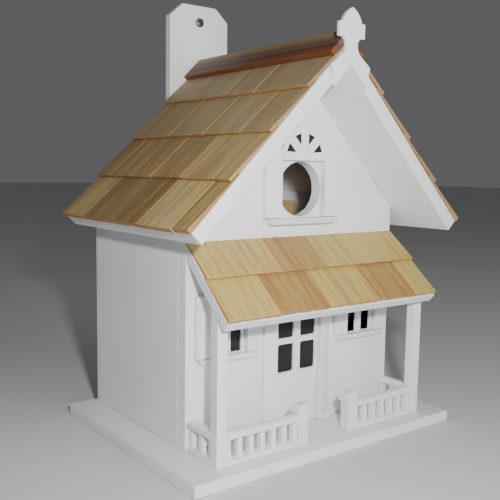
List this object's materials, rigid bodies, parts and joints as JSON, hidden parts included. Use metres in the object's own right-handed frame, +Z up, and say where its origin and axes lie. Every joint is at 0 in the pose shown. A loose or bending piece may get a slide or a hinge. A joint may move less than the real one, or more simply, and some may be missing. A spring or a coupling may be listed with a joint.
{
  "type": "birdhouse",
  "caption": "Wooden cottage nest box with a shingled gable roof, a railed front porch, a round entry hole, a hinged clean-out door at the back and a mounting board.",
  "frame": {"origin": "under the middle of the whole object, on the underside of the base board", "axes": "+Z up, -Y the front with the porch and the entry hole, +X to the right of someone looking at the front"},
  "size_m": [0.2428, 0.1848, 0.323],
  "materials": {
    "white_paint": "white semi-gloss exterior paint over wood, slightly worn at the edges",
    "cedar_shingle": "weathered cedar, tan to grey-brown, with sawn rough lower ends",
    "ridge_cedar": "stained reddish-brown cedar strips",
    "pine_shingle": "smooth pale pine with darker growth bands, clear finish",
    "black_pane": "black satin paint on a thin backing board",
    "hinge_brass": "dull plated brass",
    "screw_steel": "dark zinc-plated steel",
    "painted_nail": "steel nail painted over with the trim paint"
  },
  "bodies": {
    "house": {"base_board": "white_paint", "door_jamb_left": "white_paint", "door_jamb_right": "white_paint", "door_panel": "white_paint", "door_panes": "black_pane", "entry_shutter_left": "white_paint", "entry_shutter_right": "white_paint", "entry_sill": "white_paint", "fanlight": "white_paint", "fanlight_pane": "black_pane", "finial": "white_paint", "finial_nail_left": "painted_nail", "finial_nail_right": "painted_nail", "front_balustrade_left": "white_paint", "front_balustrade_right": "white_paint", "front_handrail_left": "white_paint", "front_handrail_right": "white_paint", "hinge_leaf_wall": "hinge_brass", "hinge_pin": "screw_steel", "left_window_shutter_left": "white_paint", "left_window_shutter_right": "white_paint", "mounting_board": "white_paint", "mounting_screw": "screw_steel", "newel_post_left": "white_paint", "newel_post_right": "white_paint", "porch_post_left": "white_paint", "porch_post_right": "white_paint", "porch_roof_board": "white_paint", "porch_shingles_lower": "pine_shingle", "porch_shingles_upper": "pine_shingle", "ridge_cap_left": "ridge_cedar", "ridge_cap_right": "ridge_cedar", "right_window_shutter_left": "white_paint", "right_window_shutter_right": "white_paint", "roof_board_left": "white_paint", "roof_board_right": "white_paint", "shingles_left_1": "cedar_shingle", "shingles_left_2": "cedar_shingle", "shingles_left_3": "cedar_shingle", "shingles_left_4": "cedar_shingle", "shingles_right_1": "cedar_shingle", "shingles_right_2": "cedar_shingle", "shingles_right_3": "cedar_shingle", "shingles_right_4": "cedar_shingle", "side_railing_left": "white_paint", "side_railing_right": "white_paint", "turn_button_screw": "screw_steel", "wall_back": "white_paint", "wall_front": "white_paint", "wall_left": "white_paint", "wall_right": "white_paint", "window_frame_left": "white_paint", "window_frame_right": "white_paint", "window_panes_left": "black_pane", "window_panes_right": "black_pane", "window_sill_left": "white_paint", "window_sill_right": "white_paint"},
    "clean_out_door": {"clean_out_door": "white_paint", "hinge_leaf_door": "hinge_brass"},
    "turn_button": {"turn_button": "white_paint"}
  },
  "joints": [
    {"name": "clean_out_door_swing", "type": "hinge", "parent": "house", "child": "clean_out_door", "pos_m": [0.034, 0.08834, 0.049], "axis": [0, 0, -1], "range_deg": [0, 110]},
    {"name": "turn_button_turn", "type": "hinge", "parent": "house", "child": "turn_button", "pos_m": [-0.0422, 0.08824, 0.049], "axis": [0, 1, 0], "range_deg": [0, 90]}
  ]
}
